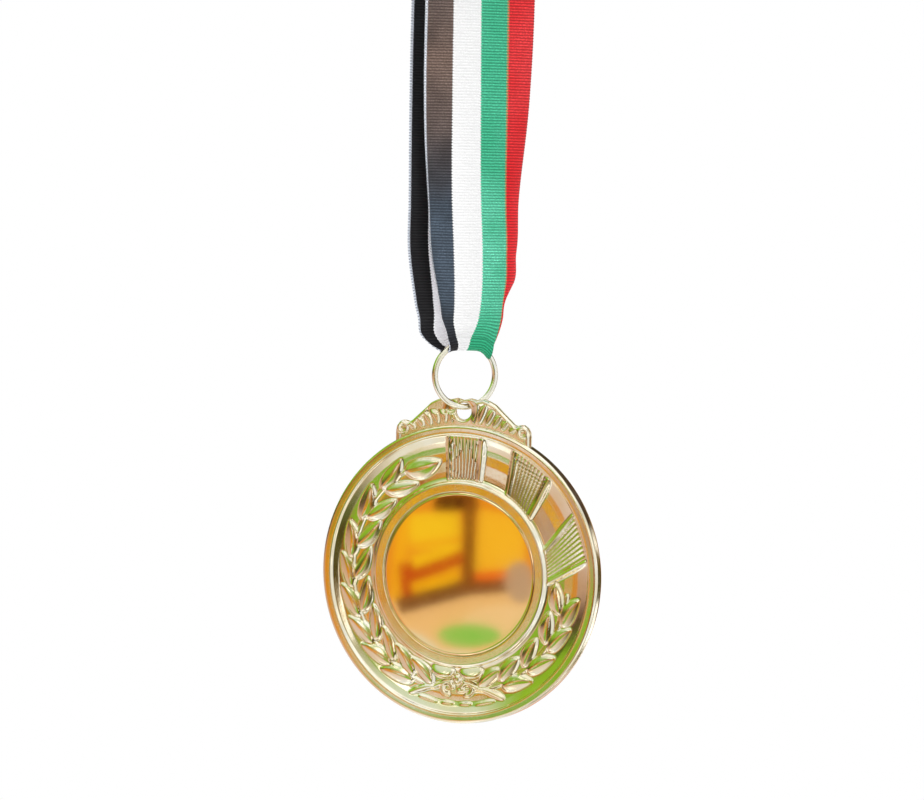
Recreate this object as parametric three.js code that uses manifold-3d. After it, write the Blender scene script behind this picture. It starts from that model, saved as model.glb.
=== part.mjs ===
// Neck medal: a die-cast disc with a laurel and rayed bands, a mirror centre disc, a split wire
// ring and a woven neck ribbon. Millimetres, +Z up, the medal's front faces -Y.
// The origin is where the ribbon's loop rests on whatever holds it.
import * as THREE from 'three';
import { mergeVertices } from 'three/addons/utils/BufferGeometryUtils.js';
import Module from 'manifold-3d';

const wasm = await Module();
wasm.setup();

// ---- Driving dimensions. Heights are measured from the disc's centre.
const GAP = 0.3;                 // clearance between neighbouring solids

const DISC_R = 32.5;             // medal radius
const DISC_T = 3.5;              // medal thickness over the rim
const INSERT_R = 17.9;           // mirror centre disc radius
const INSERT_T = 0.5;
const INSERT_DEPTH = 0.85;       // front of the centre disc below the rim
const PAD_R = 16.5;              // adhesive pad under the centre disc
const PAD_T = 0.15;

const EAR_T = 1.5;               // hanging ear thickness
const HOLE_Z = 35.5;             // height of the hole's centre
const HOLE_R = 1.8;              // hole throat radius
const HOLE_FLARE = 0.65;         // rounding of the hole at each face

const WIRE_R = 0.65;             // jump ring wire radius
const RING_R = 6.95;             // jump ring radius to the wire centre
const RING_SPLIT = 0.35;         // butt gap of the ring
const RING_SPLIT_AT = 78;        // degrees round the ring from its side to the split
const RING_YAW = 43;             // degrees from the medal's plane to the ring's plane

const RIBBON_W = 25;
const RIBBON_T = 0.8;
const RIBBON_FOLD_W = 10.5;      // gathered width where the ribbon passes the ring
const GATHER_HEIGHT = 20;        // how quickly the ribbon widens above the ring
const FOLD_R = 2.8;              // centreline radius of the fold around the ring
const STRAP_HALF_GAP = 4;        // half the distance between the straps below the loop
const LOOP_R = 9.9;              // centreline radius of the loop at the top
const LOOP_Z = 137.5;            // height of the loop's centre
const FLARE_Z = 124;             // where the straps begin to open into the loop
const SEAM_Z = 130;              // height of the lap seam on the rear strap
const SEAM_HALF = 4;
const THREAD_R = 0.25;
const THREAD_SWING = 1.5;        // half the height of the zigzag
const THREAD_PASSES = 16;
const THREAD_INSET = 1.5;        // from the ribbon's edge to the first stitch

// ---- Dimensions that follow
const FRONT_Y = -DISC_T / 2;
const BACK_Y = DISC_T / 2;
const SEAT_R = INSERT_R + GAP;
const SEAT_DEPTH = INSERT_DEPTH + INSERT_T + PAD_T + 2 * GAP;
const WIRE_LOW_Z = HOLE_Z + HOLE_R - WIRE_R - GAP;
const RING_Z = WIRE_LOW_Z + RING_R;
const WIRE_TOP_Z = RING_Z + RING_R;
const FOLD_Z = WIRE_TOP_Z - WIRE_R - GAP + FOLD_R - RIBBON_T / 2;
const HANG_Z = LOOP_Z + LOOP_R - RIBBON_T / 2;

const depthToY = (depth) => FRONT_Y + depth;

// ---- Shape helpers
function polar(radius, degrees) {
  const a = THREE.MathUtils.degToRad(degrees);
  return [radius * Math.sin(a), radius * Math.cos(a)];
}

function between(a, b, t) {
  return [THREE.MathUtils.lerp(a[0], b[0], t), THREE.MathUtils.lerp(a[1], b[1], t)];
}

function toSolid(geometry) {
  const bare = geometry.clone();
  bare.deleteAttribute('normal');
  bare.deleteAttribute('uv');
  const merged = mergeVertices(bare, 1e-4);
  const index = merged.index.array;
  const kept = [];
  for (let i = 0; i < index.length; i += 3) {
    const [a, b, c] = [index[i], index[i + 1], index[i + 2]];
    if (a !== b && b !== c && c !== a) kept.push(a, b, c);
  }
  return new wasm.Manifold(new wasm.Mesh({
    numProp: 3,
    vertProperties: new Float32Array(merged.attributes.position.array),
    triVerts: new Uint32Array(kept),
  }));
}

function toGeometry(solid) {
  const mesh = solid.getMesh();
  const geometry = new THREE.BufferGeometry();
  geometry.setAttribute('position', new THREE.BufferAttribute(new Float32Array(mesh.vertProperties), 3));
  geometry.setIndex(new THREE.BufferAttribute(new Uint32Array(mesh.triVerts), 1));
  const flat = geometry.toNonIndexed();
  flat.computeVertexNormals();
  return flat;
}

function revolve(profile, segments) {
  return new THREE.LatheGeometry(profile.map(([r, y]) => new THREE.Vector2(r, y)), segments);
}

function polygon(points) {
  return new THREE.Shape(points.map(([x, y]) => new THREE.Vector2(x, y)));
}

// A plate cut from an outline in the medal's own plane, between two depths.
function plate(points, yFront, yBack) {
  const geometry = new THREE.ExtrudeGeometry(polygon(points), {
    depth: yBack - yFront, bevelEnabled: false,
  });
  geometry.rotateX(Math.PI / 2);
  geometry.translate(0, yBack, 0);
  return geometry;
}

// A bar lying in the medal's plane from one point to another.
function bar(from, to, width, yFront, yBack) {
  const dx = to[0] - from[0];
  const dz = to[1] - from[1];
  const geometry = new THREE.BoxGeometry(Math.hypot(dx, dz), yBack - yFront, width);
  geometry.rotateY(-Math.atan2(dz, dx));
  geometry.translate((from[0] + to[0]) / 2, (yFront + yBack) / 2, (from[1] + to[1]) / 2);
  return geometry;
}

// A pointed leaf with a sharp midrib, lying between its base and its tip.
function leaf(base, tip, width, y, height) {
  const length = Math.hypot(tip[0] - base[0], tip[1] - base[1]);
  const halfWidth = width / 2;
  const spindle = [[0, 0], [0.62, 0.18], [1, 0.42], [0.72, 0.74], [0, 1]];
  const geometry = revolve(spindle.map(([r, t]) => [r * halfWidth, t * length]), 4);
  geometry.scale(1, 1, height / halfWidth);
  geometry.rotateX(Math.PI / 2);
  geometry.rotateY(Math.PI / 2 - Math.atan2(tip[1] - base[1], tip[0] - base[0]));
  geometry.translate(base[0], y, base[1]);
  return geometry;
}

// A raised ring that lies in the medal's plane.
function scroll(radius, thickness, x, y, z) {
  const geometry = new THREE.TorusGeometry(radius, thickness, 5, 12);
  geometry.rotateX(Math.PI / 2);
  geometry.translate(x, y, z);
  return geometry;
}

function tube(curve, radius, sides, steps) {
  const ring = [];
  for (let i = 0; i < sides; i++) {
    const a = 2 * Math.PI * i / sides;
    ring.push([radius * Math.cos(a), radius * Math.sin(a)]);
  }
  return new THREE.ExtrudeGeometry(polygon(ring), { steps, bevelEnabled: false, extrudePath: curve });
}

// ---- Medal body: rim, dished field, raised ring and the seat of the centre disc
const RIM_DEPTHS = [
  [18.4, 0.46], [19.8, 0.4], [20.3, 0.6], [20.8, 1.2], [21.6, 1.35], [24.3, 1.5], [27, 1.35],
  [28.9, 1.05], [29.9, 0.62], [30.3, 0.48], [30.6, 0.05], [31, 0], [32, 0.05], [32.35, 0.25], [DISC_R, 0.7],
];
const REVERSE_EDGE = [[DISC_R, 0.8], [31.9, 0.25], [30.9, 0]];
const DISC_SEGMENTS = 80;

function dishedDisc() {
  const seat = [[0, SEAT_DEPTH], [SEAT_R, SEAT_DEPTH], [SEAT_R, 0.56]];
  const front = [...seat, ...RIM_DEPTHS].map(([r, depth]) => [r, depthToY(depth)]);
  const back = REVERSE_EDGE.map(([r, inset]) => [r, BACK_Y - inset]);
  return toSolid(revolve([...front, ...back, [0, BACK_Y]], DISC_SEGMENTS));
}

// ---- Hanging ear with its scrolled shoulders, cast with the disc
const EAR_HALF = [
  [0, 37.9], [1.6, 38.3], [3.2, 37.95], [4.9, 38.25], [6.3, 37.75], [7.6, 37.1], [12.5, 32.75],
  [13.3, 33.0], [15.0, 32.6], [15.9, 31.4], [15.8, 30.2], [15.1, 28.4], [14, 26.5], [0, 26.5],
];
const EAR_LEAVES = [          // base, tip, width
  [[2.9, 33.6], [7.3, 36.6], 2.4],
  [[4.6, 32.8], [11.6, 32.7], 2.6],
];
const EAR_RELIEF = 0.45;

function ear() {
  const mirrored = EAR_HALF.slice(1, -1).reverse().map(([x, z]) => [-x, z]);
  const parts = [plate([...EAR_HALF, ...mirrored], -EAR_T / 2, EAR_T / 2)];
  for (const side of [-1, 1]) {
    for (const [base, tip, width] of EAR_LEAVES) {
      parts.push(leaf([base[0] * side, base[1]], [tip[0] * side, tip[1]], width, -EAR_T / 2, EAR_RELIEF));
    }
    parts.push(scroll(1.1, EAR_RELIEF, 14.2 * side, -EAR_T / 2, 31.1));
  }
  return parts;
}

// ---- Hole for the ring, rounded at both faces
function holeCutter() {
  const face = EAR_T / 2;
  const clear = face + 0.4;
  const half = [
    [HOLE_R, face - HOLE_FLARE], [HOLE_R + HOLE_FLARE * 0.3, face - HOLE_FLARE * 0.55],
    [HOLE_R + HOLE_FLARE, face], [HOLE_R + HOLE_FLARE, clear], [0, clear],
  ];
  const mirrored = half.map(([r, y]) => [r, -y]).reverse();
  const geometry = revolve([...mirrored, ...half], 32);
  geometry.translate(0, 0, HOLE_Z);
  return geometry;
}

// ---- Rayed bands: fine ribs between two thick ones, from the raised ring to the rim
const FINE_RIBS = 9;
const BANDS = [
  { inner: [[-2.9, 20.2], [4.1, 20.1]], outer: [[-3.1, 29.6], [5.0, 29.1]] },
  { inner: [[10.8, 17.3], [15.9, 12.9]], outer: [[12.6, 27.1], [20.7, 21.4]] },
  { inner: [[19.7, 5.9], [20.6, -0.8]], outer: [[26.4, 14.0], [29.5, 4.3]] },
];
const THICK_RIB = { width: 1.1, depth: 0.78 };
const FINE_RIB = { width: 0.5, depth: 1.0 };
const RIB_FOOT_DEPTH = 2;

function rayedBands() {
  const parts = [];
  for (const { inner, outer } of BANDS) {
    for (let i = 0; i <= FINE_RIBS + 1; i++) {
      const thick = i === 0 || i === FINE_RIBS + 1;
      const t = i / (FINE_RIBS + 1);
      const { width, depth } = thick ? THICK_RIB : FINE_RIB;
      const from = between(inner[0], inner[1], t);
      const to = between(outer[0], outer[1], t);
      parts.push(bar(from, to, width, depthToY(depth), depthToY(RIB_FOOT_DEPTH)));
    }
  }
  return parts;
}

// ---- Laurel: rows of leaves along two stems, angles clockwise from the top
const LEAF_DEPTH = 1.45;
const LEAF_H = 0.75;
const OUTER_LEFT = [-148, -134, -120.5, -105.5, -91, -76.5, -57, -38.5];
const INNER_LEFT = [-157.5, -146, -133, -119.5, -103.5, -86, -69.5, -54, -37];
const OUTER_RIGHT = [148.5, 133.5, 118.5, 105];
const INNER_RIGHT = [160, 148, 133, 116, 99.5];
const TOP_LEFT = [-21.8];
const LEAF_ROWS = [
  { angles: OUTER_LEFT, baseR: 26.1, tipR: 28.6, sweep: 17, width: 3.1 },
  { angles: INNER_LEFT, baseR: 25, tipR: 21.9, sweep: 18.5, width: 2.9 },
  { angles: OUTER_RIGHT, baseR: 26.2, tipR: 28.6, sweep: 15, width: 3.1 },
  { angles: INNER_RIGHT, baseR: 24.7, tipR: 22.6, sweep: 16.5, width: 2.9 },
  { angles: TOP_LEFT, baseR: 25.6, tipR: 24.9, sweep: 20, width: 4.3 },
];
const STEMS = [
  { radius: 25.6, start: -164, end: -32 },
  { radius: 25.5, start: 166, end: 100 },
];
const STEM_STEP = 9;             // degrees of arc for each straight piece of stem

function laurelLeaves() {
  const parts = [];
  for (const { angles, baseR, tipR, sweep, width } of LEAF_ROWS) {
    for (const angle of angles) {
      const turn = Math.sign(angle) * sweep / 2;
      const base = polar(baseR, angle + turn);
      const tip = polar(tipR, angle - turn);
      parts.push(leaf(base, tip, width, depthToY(LEAF_DEPTH), LEAF_H));
    }
  }
  return parts;
}

function laurelStems() {
  const parts = [];
  for (const { radius, start, end } of STEMS) {
    const steps = Math.ceil(Math.abs(end - start) / STEM_STEP);
    const step = (end - start) / steps;
    for (let i = 0; i < steps; i++) {
      const from = polar(radius, start + step * i);
      const to = polar(radius, start + step * (i + 1.04));
      parts.push(bar(from, to, 0.7, depthToY(1.12), depthToY(2)));
    }
  }
  return parts;
}

// ---- Bow under the laurel: two loops, a knot, two small curls and four tails
const BOW_Y = depthToY(1.42);
const BOW_LOOP_Y = depthToY(1.2);

function bow() {
  const parts = [];
  for (const side of [-1, 1]) {
    parts.push(leaf([0, -22.3], [6.4 * side, -20.5], 3.4, BOW_LOOP_Y, 0.85));
    parts.push(leaf([3.6 * side, -24.3], [11.2 * side, -26.6], 1.5, BOW_Y, 0.6));
    parts.push(leaf([4.2 * side, -28.0], [9.2 * side, -26.6], 1.2, BOW_Y, 0.5));
    parts.push(scroll(1.15, 0.35, 2.0 * side, BOW_Y + 0.05, -25.0));
  }
  const knot = new THREE.SphereGeometry(1.2, 8, 6);
  knot.scale(1, 0.6, 1.1);
  knot.translate(0, BOW_Y, -23.2);
  parts.push(knot);
  return parts;
}

function medalBody() {
  let body = dishedDisc();
  const cast = [...ear(), ...rayedBands(), ...laurelLeaves(), ...laurelStems(), ...bow()];
  for (const part of cast) {
    body = body.add(toSolid(part));
  }
  return toGeometry(body.subtract(toSolid(holeCutter())));
}

// ---- Centre disc and its adhesive pad
function centreInsert() {
  const geometry = new THREE.CylinderGeometry(INSERT_R, INSERT_R, INSERT_T, 72);
  geometry.translate(0, depthToY(INSERT_DEPTH + INSERT_T / 2), 0);
  return geometry;
}

function adhesivePad() {
  const geometry = new THREE.CylinderGeometry(PAD_R, PAD_R, PAD_T, 48);
  geometry.translate(0, depthToY(INSERT_DEPTH + INSERT_T + GAP + PAD_T / 2), 0);
  return geometry;
}

// ---- Jump ring: round wire bent to a circle, its ends butting inside the ribbon's fold
class RingCurve extends THREE.Curve {
  getPoint(t, target = new THREE.Vector3()) {
    const open = RING_SPLIT / RING_R;
    const a = THREE.MathUtils.degToRad(RING_SPLIT_AT) + open / 2 + t * (2 * Math.PI - open);
    return target.set(RING_R * Math.cos(a), 0, RING_R * Math.sin(a));
  }
}

function jumpRing() {
  return tube(new RingCurve(), WIRE_R, 10, 48);
}

// ---- Ribbon: one woven strip through the ring, closed in a lap seam on the rear strap.
// A point of its centreline is [forward, up].
const FOLD_STEPS = 10;
const STRAP_STEPS = 24;
const LOOP_STEPS = 14;
const RIBBON_STEPS = 6;          // divisions across the width
const DROOP_HEIGHT = 9;          // how far above the fold the arch over the ring fades out

function strapHalfGap(z) {
  const rise = THREE.MathUtils.clamp((z - FOLD_Z) / (FLARE_Z - FOLD_Z), 0, 1);
  const open = THREE.MathUtils.smoothstep(z, FLARE_Z, LOOP_Z);
  return FOLD_R + (STRAP_HALF_GAP - FOLD_R) * rise + (LOOP_R - STRAP_HALF_GAP) * open;
}

function ribbonCentreline() {
  const points = [];
  for (let i = 0; i < FOLD_STEPS; i++) {
    const a = Math.PI * (1 + i / FOLD_STEPS);
    points.push([Math.cos(a) * FOLD_R, FOLD_Z + Math.sin(a) * FOLD_R]);
  }
  for (let i = 0; i < STRAP_STEPS; i++) {
    const z = FOLD_Z + (LOOP_Z - FOLD_Z) * i / STRAP_STEPS;
    points.push([strapHalfGap(z), z]);
  }
  for (let i = 0; i < LOOP_STEPS; i++) {
    const a = Math.PI * i / LOOP_STEPS;
    points.push([Math.cos(a) * LOOP_R, LOOP_Z + Math.sin(a) * LOOP_R]);
  }
  for (let i = STRAP_STEPS; i > 0; i--) {
    const z = FOLD_Z + (LOOP_Z - FOLD_Z) * i / STRAP_STEPS;
    points.push([-strapHalfGap(z), z]);
  }
  return points;
}

function offsetLoop(points, distanceAt) {
  const n = points.length;
  return points.map(([forward, up], i) => {
    const before = points[(i + n - 1) % n];
    const after = points[(i + 1) % n];
    const along = [after[0] - before[0], after[1] - before[1]];
    const share = distanceAt(forward, up) / Math.hypot(...along);
    return [forward + share * along[1], up - share * along[0]];
  });
}

function inLap(forward, up) {
  return forward < 0 && Math.abs(up - SEAM_Z) < SEAM_HALF;
}

// Gathered at the ring and arched over the ring's curve there.
function gather(across, forward, up) {
  const above = Math.max(up - FOLD_Z, 0);
  const width = RIBBON_W - (RIBBON_W - RIBBON_FOLD_W) * Math.exp(-above / GATHER_HEIGHT);
  const u = (across / RIBBON_W - 0.5) * width;
  const lean = Math.sqrt(Math.max(1 - (u / RING_R) ** 2, 0.1));
  const droop = RING_R * (1 - lean) + (WIRE_R + GAP) * (1 / lean - 1);
  const fade = 1 - THREE.MathUtils.smoothstep(above, 0, DROOP_HEIGHT);
  return [-u, -forward, up - droop * fade];
}

function ribbonLoop() {
  const centreline = ribbonCentreline();
  const outer = offsetLoop(centreline, (a, b) => RIBBON_T / 2 + (inLap(a, b) ? RIBBON_T : 0));
  const inner = offsetLoop(centreline, () => -RIBBON_T / 2);
  const shape = polygon(outer);
  shape.holes.push(polygon(inner));
  const geometry = new THREE.ExtrudeGeometry(shape, {
    depth: RIBBON_W, steps: RIBBON_STEPS, bevelEnabled: false,
  });
  const p = geometry.attributes.position;
  for (let i = 0; i < p.count; i++) {
    p.setXYZ(i, ...gather(p.getZ(i), p.getX(i), p.getY(i)));
  }
  geometry.computeVertexNormals();
  return geometry;
}

// ---- Seam thread: a zigzag row across the lap
class ZigzagCurve extends THREE.Curve {
  getPoint(t, target = new THREE.Vector3()) {
    const u = (t - 0.5) * (RIBBON_W - 2 * THREAD_INSET);
    const wave = 2 * Math.abs(2 * ((t * THREAD_PASSES / 2) % 1) - 1) - 1;
    const z = SEAM_Z + THREAD_SWING * wave;
    const back = strapHalfGap(z) + RIBBON_T * 1.5 + GAP + THREAD_R + 0.15;
    return target.set(u, back, z);
  }
}

function seamThread() {
  return tube(new ZigzagCurve(), THREAD_R, 5, 64);
}

// ---- Materials
const LOOKS = {
  ribbon: { color: 0x2fae7d, roughness: 0.9 },
  seam_thread: { color: 0xeeeeea, roughness: 0.8 },
  jump_ring: { color: 0xd9c48a, metalness: 1, roughness: 0.25 },
  medal_body: { color: 0xe0a63a, metalness: 1, roughness: 0.22 },
  centre_insert: { color: 0xe8a020, metalness: 1, roughness: 0.06 },
  insert_adhesive: { color: 0xe9e6da, roughness: 0.7 },
};

// ---- Assembly
function piece(name, geometry) {
  const mesh = new THREE.Mesh(geometry, new THREE.MeshStandardMaterial({ name, ...LOOKS[name] }));
  mesh.name = name;
  return mesh;
}

function assembly(name, z, yaw, pieces) {
  const holder = new THREE.Group();
  holder.name = name;
  holder.position.z = z;
  holder.rotation.z = THREE.MathUtils.degToRad(yaw);
  holder.add(...pieces);
  return holder;
}

const group = new THREE.Group();
group.name = 'medal';
group.add(
  assembly('ribbon_assembly', -HANG_Z, RING_YAW, [
    piece('ribbon', ribbonLoop()),
    piece('seam_thread', seamThread()),
  ]),
  assembly('ring_assembly', RING_Z - HANG_Z, RING_YAW, [
    piece('jump_ring', jumpRing()),
  ]),
  assembly('medal_assembly', -HANG_Z, 0, [
    piece('medal_body', medalBody()),
    piece('centre_insert', centreInsert()),
    piece('insert_adhesive', adhesivePad()),
  ]),
);

export default group;
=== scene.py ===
"""Looks of the neck medal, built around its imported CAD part. Metres, +Z up, the medal's front faces -Y."""
import bpy
import math
import numpy as np
from mathutils import Matrix, Vector


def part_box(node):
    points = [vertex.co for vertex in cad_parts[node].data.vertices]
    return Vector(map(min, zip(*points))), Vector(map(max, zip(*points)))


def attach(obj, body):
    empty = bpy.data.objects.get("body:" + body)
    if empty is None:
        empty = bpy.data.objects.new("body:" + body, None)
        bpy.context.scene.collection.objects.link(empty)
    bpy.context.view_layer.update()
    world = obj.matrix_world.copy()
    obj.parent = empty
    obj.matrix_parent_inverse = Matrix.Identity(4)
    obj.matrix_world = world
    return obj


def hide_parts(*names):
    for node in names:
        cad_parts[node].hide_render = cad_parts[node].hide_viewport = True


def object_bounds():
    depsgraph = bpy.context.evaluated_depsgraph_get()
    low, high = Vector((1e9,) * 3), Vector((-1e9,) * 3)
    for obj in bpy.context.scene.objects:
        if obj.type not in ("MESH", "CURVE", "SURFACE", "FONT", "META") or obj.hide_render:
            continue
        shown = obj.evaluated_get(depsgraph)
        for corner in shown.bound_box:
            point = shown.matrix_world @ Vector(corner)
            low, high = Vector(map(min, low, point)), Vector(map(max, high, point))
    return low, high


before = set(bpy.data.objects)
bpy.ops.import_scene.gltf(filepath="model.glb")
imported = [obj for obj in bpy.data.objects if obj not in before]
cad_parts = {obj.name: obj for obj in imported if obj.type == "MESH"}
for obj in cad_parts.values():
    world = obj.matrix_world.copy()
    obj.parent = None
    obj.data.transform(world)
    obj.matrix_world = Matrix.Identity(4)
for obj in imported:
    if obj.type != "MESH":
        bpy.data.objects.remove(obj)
CAD_BOX = [list(corner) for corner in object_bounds()]

MM = 0.001
INSERT_LOW, INSERT_HIGH = (np.array(corner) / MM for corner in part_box("centre_insert"))
BODY_LOW, BODY_HIGH = (np.array(corner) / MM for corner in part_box("medal_body"))
RING_LOW, RING_HIGH = (np.array(corner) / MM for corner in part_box("jump_ring"))
PAD_LOW, PAD_HIGH = (np.array(corner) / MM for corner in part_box("insert_adhesive"))
DISC_Z = (INSERT_LOW[2] + INSERT_HIGH[2]) / 2
FRONT_Y = BODY_LOW[1]
BACK_Y = BODY_HIGH[1]
DISC_R = BODY_HIGH[0]
YAW = math.radians(43)  # the ring and the ribbon are turned this far from the medal's plane


# -------- camera
CAMERA_AZIMUTH = math.radians(23.5)
CAMERA_ELEVATION = math.radians(3.0)
CAMERA_ROLL = math.radians(1.25)
CAMERA_DISTANCE = 0.95
VIEW_WIDTH = 0.2006  # width that the view takes in at the medal
VIEW_UP = 0.0379  # the view's centre above the disc's centre
VIEW_RIGHT = 0.0010
SENSOR = 36.0


def camera_axes():
    back = Vector((
        math.sin(CAMERA_AZIMUTH) * math.cos(CAMERA_ELEVATION),
        -math.cos(CAMERA_AZIMUTH) * math.cos(CAMERA_ELEVATION),
        math.sin(CAMERA_ELEVATION),
    ))
    level = Vector((math.cos(CAMERA_AZIMUTH), math.sin(CAMERA_AZIMUTH), 0))
    upright = back.cross(level)
    right = level * math.cos(CAMERA_ROLL) + upright * math.sin(CAMERA_ROLL)
    up = upright * math.cos(CAMERA_ROLL) - level * math.sin(CAMERA_ROLL)
    return right, up, back


def add_camera():
    right, up, back = camera_axes()
    data = bpy.data.cameras.new("camera")
    data.sensor_width = SENSOR
    data.lens = SENSOR * CAMERA_DISTANCE / VIEW_WIDTH
    camera = bpy.data.objects.new("camera", data)
    target = Vector((0, FRONT_Y * MM, DISC_Z * MM)) + up * VIEW_UP + right * VIEW_RIGHT
    place = Matrix((right, up, back)).transposed().to_4x4()
    place.translation = target + back * CAMERA_DISTANCE
    camera.matrix_world = place
    bpy.context.scene.collection.objects.link(camera)
    bpy.context.scene.camera = camera
    return camera


camera = add_camera()


# -------- mesh helpers, all in millimetres
def grid_quads(rows, cols, wrap_cols=False):
    r, c = np.meshgrid(np.arange(rows - 1), np.arange(cols if wrap_cols else cols - 1), indexing="ij")
    near = r * cols
    far = near + cols
    step = (c + 1) % cols
    return np.stack([near + c, near + step, far + step, far + c], -1).reshape(-1, 4)


def mesh_object(name, points, faces, material, uv=None, smooth=True):
    mesh = bpy.data.meshes.new(name)
    mesh.from_pydata((np.asarray(points, float).reshape(-1, 3) * MM).tolist(), [], [list(f) for f in faces])
    if uv is not None:
        layer = mesh.uv_layers.new(name="weave")
        corner = np.zeros(len(mesh.loops), np.int32)
        mesh.loops.foreach_get("vertex_index", corner)
        layer.data.foreach_set("uv", np.asarray(uv, np.float32)[corner].ravel())
    mesh.polygons.foreach_set("use_smooth", [smooth] * len(mesh.polygons))
    mesh.materials.append(material)
    mesh.validate()
    mesh.update()
    obj = bpy.data.objects.new(name, mesh)
    bpy.context.scene.collection.objects.link(obj)
    return obj


def capped_quads(rows, cols):
    """Faces of closed rings of points, one ring in each row, with a flat face over the first and the last."""
    faces = grid_quads(rows, cols, wrap_cols=True).tolist()
    last = (rows - 1) * cols
    faces.append(list(range(cols))[::-1])
    faces.append(list(range(last, last + cols)))
    return faces


def lathe(profile, segments, centre):
    """Points and faces of a profile of (radius, y) turned round the Y axis, closed at both ends."""
    a = np.linspace(0, 2 * np.pi, segments, endpoint=False)
    rings = []
    for r, y in profile:
        level = np.full(segments, y + centre[1])
        rings.append(np.stack([r * np.sin(a) + centre[0], level, r * np.cos(a) + centre[2]], -1))
    return np.concatenate(rings), capped_quads(len(rings), segments)


OFF_PATH = (0.31, 0.87, 0.39)  # a direction that no tube here starts along


def tube(path, radius, sides):
    """Points and faces of a round tube along a path, with flat ends. The radius may vary along it."""
    path = np.asarray(path, float)
    radius = np.broadcast_to(radius, len(path))
    along = np.gradient(path, axis=0)
    along /= np.linalg.norm(along, axis=1)[:, None]
    side = np.cross(along[0], OFF_PATH)
    rows = []
    for point, direction, r in zip(path, along, radius):
        side = side - direction * (side @ direction)
        side /= np.linalg.norm(side)
        other = np.cross(direction, side)
        a = np.linspace(0, 2 * np.pi, sides, endpoint=False)[:, None]
        rows.append(point + r * (np.cos(a) * side + np.sin(a) * other))
    return np.concatenate(rows), capped_quads(len(path), sides)


def yawed(u, forward, z):
    """A point of the ribbon's and ring's own frame (across, towards its front, up) in the part's frame."""
    u, forward, z = np.broadcast_arrays(u, forward, z)
    return np.stack([
        u * math.cos(YAW) + forward * math.sin(YAW),
        u * math.sin(YAW) - forward * math.cos(YAW),
        z,
    ], -1)


def smoothstep(x, low, high):
    t = np.clip((np.asarray(x, float) - low) / (high - low), 0, 1)
    return t * t * (3 - 2 * t)


# -------- material helpers
class Nodes:
    """A node tree, with short calls for the nodes used here."""

    def __init__(self, tree):
        self.tree = tree

    def node(self, kind, **values):
        made = self.tree.nodes.new(kind)
        for key, value in values.items():
            setattr(made, key, value)
        return made

    def link(self, source, target):
        if isinstance(source, bpy.types.NodeSocket):
            self.tree.links.new(source, target)
        else:
            target.default_value = source

    def math(self, operation, a, b=0.0, clamp=False):
        made = self.node("ShaderNodeMath", operation=operation, use_clamp=clamp)
        self.link(a, made.inputs[0])
        self.link(b, made.inputs[1])
        return made.outputs[0]

    def noise(self, vector, scale, detail=2.0, roughness=0.5):
        made = self.node("ShaderNodeTexNoise")
        self.link(vector, made.inputs["Vector"])
        made.inputs["Scale"].default_value = scale
        made.inputs["Detail"].default_value = detail
        made.inputs["Roughness"].default_value = roughness
        return made.outputs["Fac"]

    def ramp(self, factor, stops, constant=False):
        made = self.node("ShaderNodeValToRGB")
        made.color_ramp.interpolation = "CONSTANT" if constant else "LINEAR"
        elements = made.color_ramp.elements
        while len(elements) < len(stops):
            elements.new(1.0)
        for element, (position, colour) in zip(elements, stops):
            element.position = position
            element.color = (*colour, 1)
        self.link(factor, made.inputs[0])
        return made.outputs[0]

    def grey_ramp(self, factor, stops, constant=False):
        return self.ramp(factor, [(position, (grey,) * 3) for position, grey in stops], constant)

    def span(self, value, low, high, to_low, to_high):
        made = self.node("ShaderNodeMapRange")
        self.link(value, made.inputs[0])
        for i, number in enumerate((low, high, to_low, to_high)):
            made.inputs[i + 1].default_value = number
        return made.outputs[0]

    def mix(self, factor, a, b, blend="MIX"):
        made = self.node("ShaderNodeMix", data_type="RGBA", blend_type=blend)
        self.link(factor, made.inputs["Factor"])
        for value, socket in ((a, made.inputs[6]), (b, made.inputs[7])):
            self.link((*value, 1) if isinstance(value, tuple) and len(value) == 3 else value, socket)
        return made.outputs[2]

    def bump(self, height, strength, distance, before=None):
        made = self.node("ShaderNodeBump")
        self.link(height, made.inputs["Height"])
        made.inputs["Strength"].default_value = strength
        made.inputs["Distance"].default_value = distance
        if before is not None:
            self.link(before, made.inputs["Normal"])
        return made.outputs[0]

    def shifted(self, vector, offset):
        made = self.node("ShaderNodeVectorMath", operation="ADD")
        self.link(vector, made.inputs[0])
        made.inputs[1].default_value = offset
        return made.outputs[0]

    def parts(self, vector):
        made = self.node("ShaderNodeSeparateXYZ")
        self.link(vector, made.inputs[0])
        return made.outputs

    def times(self, a, b):
        return self.math("MULTIPLY", a, b)


class Look(Nodes):
    """A material's nodes, with its Principled shader at hand."""

    def __init__(self, name):
        self.material = bpy.data.materials.new(name)
        self.material.use_nodes = True
        super().__init__(self.material.node_tree)
        self.shader = self.tree.nodes["Principled BSDF"]

    def place(self):
        return self.node("ShaderNodeTexCoord").outputs["Object"]

    def set(self, **values):
        for name, value in values.items():
            self.link(value, self.shader.inputs[name.replace("_", " ")])
        return self.material


def plated(name, pale, deep, smooth, rough, grain_scale, grain, wave, dusty=0.05):
    """Plated metal whose tone drifts. It is duller in patches, finely grained and slightly wavy."""
    n = Look(name)
    place = n.place()
    tone = n.noise(place, 90, 3)
    colour = n.mix(n.span(tone, 0.35, 0.68, 0, 1), pale, deep)
    patch = n.noise(place, 260, 4, 0.6)
    dust = n.noise(place, 1500, 2)
    roughness = n.math("ADD", n.span(patch, 0.3, 0.7, smooth, rough), n.span(dust, 0.45, 0.75, 0, dusty))
    waves = n.bump(n.noise(place, 190, 2), wave, 0.0006)
    fine = n.bump(n.noise(place, grain_scale, 3, 0.65), grain, 0.00008, waves)
    return n.set(Base_Color=colour, Metallic=1.0, Roughness=roughness, Normal=fine)


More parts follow.
